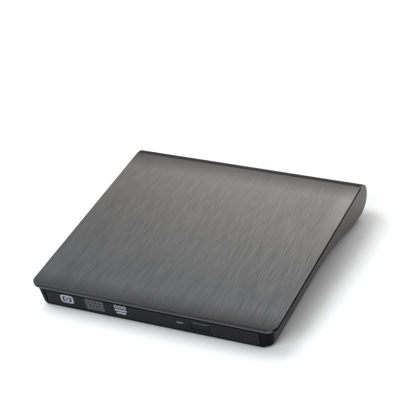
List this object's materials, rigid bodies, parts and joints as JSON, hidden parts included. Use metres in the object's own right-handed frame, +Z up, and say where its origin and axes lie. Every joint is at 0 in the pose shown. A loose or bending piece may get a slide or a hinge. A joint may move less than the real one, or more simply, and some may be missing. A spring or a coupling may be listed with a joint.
{
  "type": "external optical disc drive",
  "caption": "Wedge-shaped external optical drive: brushed cover over a black shell with a rear hump, slide-out disc tray with spindle and laser pickup, eject button and rear USB inlet.",
  "frame": {"origin": "centre of the footprint, on the surface the feet stand on", "axes": "+Z up, +X to the right seen from the front, +Y from the tray front to the rear hump"},
  "size_m": [0.147, 0.1522, 0.0232],
  "materials": {
    "cover_metal": "brushed dark anodised look",
    "shell_plastic": "moulded, semi-gloss black",
    "bezel_plastic": "moulded, semi-gloss black",
    "tray_plastic": "moulded, fine texture",
    "foot_rubber": "matte",
    "dark_screw": "blackened steel",
    "zinc_steel": "zinc-plated sheet",
    "bright_steel": "ground rod",
    "board": "solder mask",
    "chip": "epoxy package",
    "dark_nylon": "connector body",
    "pale_nylon": "acetal",
    "flex_film": "polyimide film",
    "light_guide": "clear acrylic",
    "copper_coil": "enamelled copper wire",
    "cast_dark": "die-cast, dark",
    "bronze": "sintered bronze",
    "damper_rubber": "soft rubber",
    "pad_rubber": "friction ring",
    "lens_glass": "coated lens",
    "ferrite": "bonded magnet"
  },
  "bodies": {
    "case": {"top_cover": "cover_metal", "bottom_shell": "shell_plastic", "foot_front_left": "foot_rubber", "foot_front_right": "foot_rubber", "foot_rear_left": "foot_rubber", "foot_rear_right": "foot_rubber", "case_screws": "dark_screw", "inner_screws": "zinc_steel", "bridge_board": "board", "bridge_chips": "chip", "sata_receptacle": "dark_nylon", "usb_socket": "zinc_steel", "usb_tongue": "dark_nylon", "rear_bracket": "zinc_steel", "drive_chassis": "zinc_steel", "drive_lid": "zinc_steel", "lid_screws": "zinc_steel", "guide_left": "pale_nylon", "guide_right": "pale_nylon", "drive_board": "board", "drive_chips": "chip", "sata_plug": "dark_nylon", "flex_floor_leg": "flex_film", "lock_pin": "bright_steel"},
    "rail_left": {"rail_left": "zinc_steel"},
    "rail_right": {"rail_right": "zinc_steel"},
    "flex_loop": {"flex_loop": "flex_film"},
    "tray": {"tray": "tray_plastic", "tray_bezel": "bezel_plastic", "led_lens": "light_guide", "tray_board": "board", "eject_switch": "pale_nylon", "flex_tray_leg": "flex_film", "tray_plate": "zinc_steel", "plate_screws": "zinc_steel", "latch_solenoid": "copper_coil", "traverse_frame": "cast_dark", "traverse_cover": "zinc_steel", "dampers": "damper_rubber", "damper_screws": "zinc_steel", "guide_rod_main": "bright_steel", "guide_rod_sub": "bright_steel", "sled_motor": "zinc_steel", "spindle_base": "zinc_steel", "spindle_stator": "copper_coil", "spindle_bearing": "bronze"},
    "eject_button": {"eject_button": "bezel_plastic"},
    "latch": {"latch_lever": "pale_nylon"},
    "leadscrew": {"leadscrew": "bright_steel"},
    "pickup": {"pickup_body": "cast_dark", "actuator_cover": "zinc_steel", "rack_follower": "pale_nylon"},
    "lens": {"lens_holder": "dark_nylon", "objective_lens": "lens_glass"},
    "spindle": {"spindle_rotor": "zinc_steel", "rotor_magnet": "ferrite", "turntable_pad": "pad_rubber"},
    "claw_1": {"hub_claw_1": "pale_nylon"},
    "claw_2": {"hub_claw_2": "pale_nylon"},
    "claw_3": {"hub_claw_3": "pale_nylon"}
  },
  "joints": [
    {"name": "tray_slide", "type": "slide", "parent": "case", "child": "tray", "axis": [0, -0.9981, -0.061], "range_m": [0, 0.128]},
    {"name": "rail_left_slide", "type": "slide", "parent": "case", "child": "rail_left", "axis": [0, -0.9981, -0.061], "range_m": [0, 0.064]},
    {"name": "rail_right_slide", "type": "slide", "parent": "case", "child": "rail_right", "axis": [0, -0.9981, -0.061], "range_m": [0, 0.064]},
    {"name": "flex_loop_slide", "type": "slide", "parent": "case", "child": "flex_loop", "axis": [0, -0.9981, -0.061], "range_m": [0, 0.064]},
    {"name": "eject_button_press", "type": "slide", "parent": "tray", "child": "eject_button", "axis": [0, 0.9981, 0.061], "range_m": [0, 0.0006], "stiffness_N_per_m": 800, "springref_m": -0.0004},
    {"name": "latch_swing", "type": "hinge", "parent": "tray", "child": "latch", "pos_m": [0.0235, -0.04383, 0.00612], "axis": [0, -0.061, 0.9981], "range_deg": [0, 10], "stiffness_Nm_per_rad": 0.002},
    {"name": "spindle_spin", "type": "hinge", "parent": "tray", "child": "spindle", "pos_m": [0, -0.00865, 0.01248], "axis": [0, -0.061, 0.9981], "continuous": true},
    {"name": "pickup_slide", "type": "slide", "parent": "tray", "child": "pickup", "axis": [-0.7071, -0.7058, -0.0432], "range_m": [0, 0.0335]},
    {"name": "leadscrew_spin", "type": "hinge", "parent": "tray", "child": "leadscrew", "pos_m": [-0.01676, -0.0482, 0.00696], "axis": [-0.7071, -0.7058, -0.0432], "range_deg": [0, 4020]},
    {"name": "lens_focus", "type": "slide", "parent": "pickup", "child": "lens", "axis": [0, -0.061, 0.9981], "range_m": [-0.0004, 0.0004], "stiffness_N_per_m": 40},
    {"name": "claw_1_slide", "type": "slide", "parent": "spindle", "child": "claw_1", "axis": [1, 0, 0], "range_m": [-0.0008, 0], "stiffness_N_per_m": 300, "springref_m": 0.0003},
    {"name": "claw_2_slide", "type": "slide", "parent": "spindle", "child": "claw_2", "axis": [-0.5, 0.8644, 0.0529], "range_m": [-0.0008, 0], "stiffness_N_per_m": 300, "springref_m": 0.0003},
    {"name": "claw_3_slide", "type": "slide", "parent": "spindle", "child": "claw_3", "axis": [-0.5, -0.8644, -0.0529], "range_m": [-0.0008, 0], "stiffness_N_per_m": 300, "springref_m": 0.0003}
  ],
  "couplings": [
    {"joint": "rail_left_slide", "follows": "tray_slide", "ratio": 0.5},
    {"joint": "rail_right_slide", "follows": "tray_slide", "ratio": 0.5},
    {"joint": "flex_loop_slide", "follows": "tray_slide", "ratio": 0.5},
    {"joint": "leadscrew_spin", "follows": "pickup_slide", "rad_per_m": 2094.4}
  ]
}
